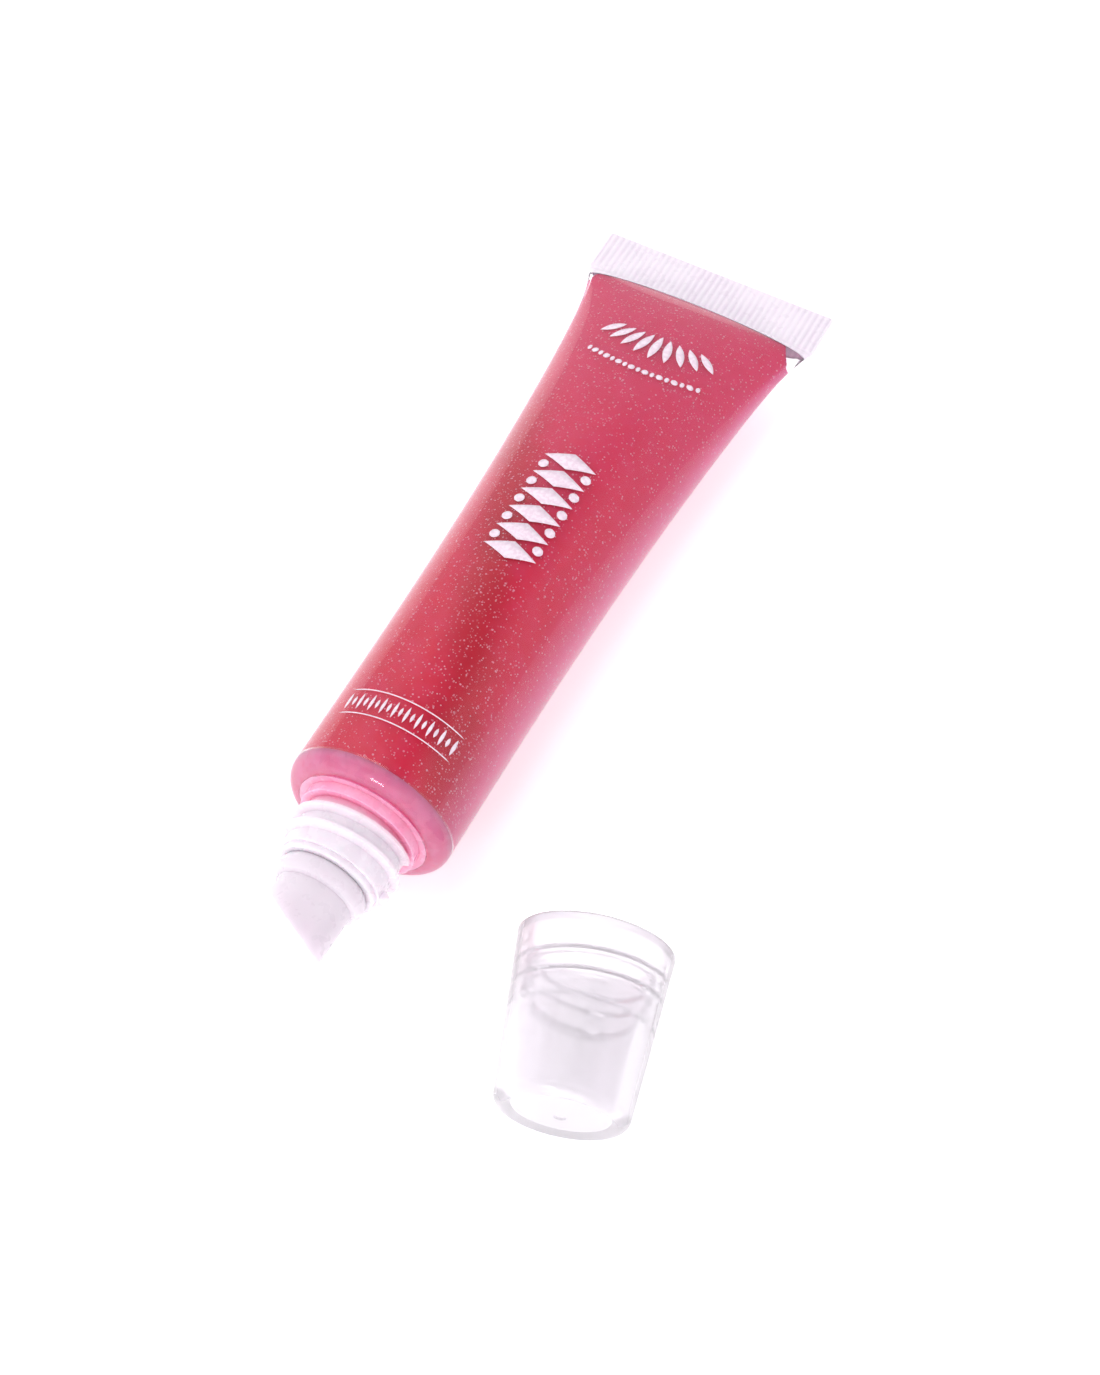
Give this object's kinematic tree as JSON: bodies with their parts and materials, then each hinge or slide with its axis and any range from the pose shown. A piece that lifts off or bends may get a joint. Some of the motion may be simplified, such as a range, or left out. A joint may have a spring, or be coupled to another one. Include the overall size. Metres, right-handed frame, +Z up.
{
  "type": "squeeze tube with screw cap",
  "caption": "Clear squeeze tube of glittery pink lip gloss, flat sealed at one end, with a threaded neck, a slanted applicator tip and a clear screw cap laid beside it.",
  "frame": {"origin": "on the floor, under the middle of the box round the tube and the laid cap", "axes": "+Y along the tube from the applicator to the sealed end, +Z up, +X towards the cap"},
  "size_m": [0.0536, 0.1068, 0.0195],
  "materials": {
    "clear_sleeve": "glossy",
    "frosted_neck": "satin",
    "milky_tip": "satin",
    "pink_gloss": "glossy",
    "clear_cap": "glossy",
    "seal_ring": "satin",
    "white_print": "satin"
  },
  "bodies": {
    "tube": {"sleeve": "clear_sleeve", "tube_head": "frosted_neck", "applicator_tip": "milky_tip", "gloss_fill": "pink_gloss"},
    "drawn_bead": {"gloss_bead": "pink_gloss"},
    "cap_ring": {"cap_seal": "seal_ring"},
    "cap": {"cap_shell": "clear_cap"}
  },
  "joints": [
    {"name": "cap_travel", "type": "slide", "parent": "tube", "child": "drawn_bead", "axis": [0, 0.9997, -0.0262], "range_m": [0, 0.0264]},
    {"name": "cap_swing", "type": "hinge", "parent": "drawn_bead", "child": "cap_ring", "pos_m": [-0.07031, 0.03411, 0.06807], "axis": [-0.3581, 0.2883, -0.8881], "range_deg": [0, 17.51]},
    {"name": "cap_turn", "type": "hinge", "parent": "cap_ring", "child": "cap", "pos_m": [0.0204, -0.05177, 0.00688], "axis": [-0.2699, 0.9603, 0.0699], "range_deg": [0, 4320.5]}
  ],
  "couplings": [
    {"joint": "cap_turn", "follows": "cap_travel", "rad_per_m": 2856}
  ]
}
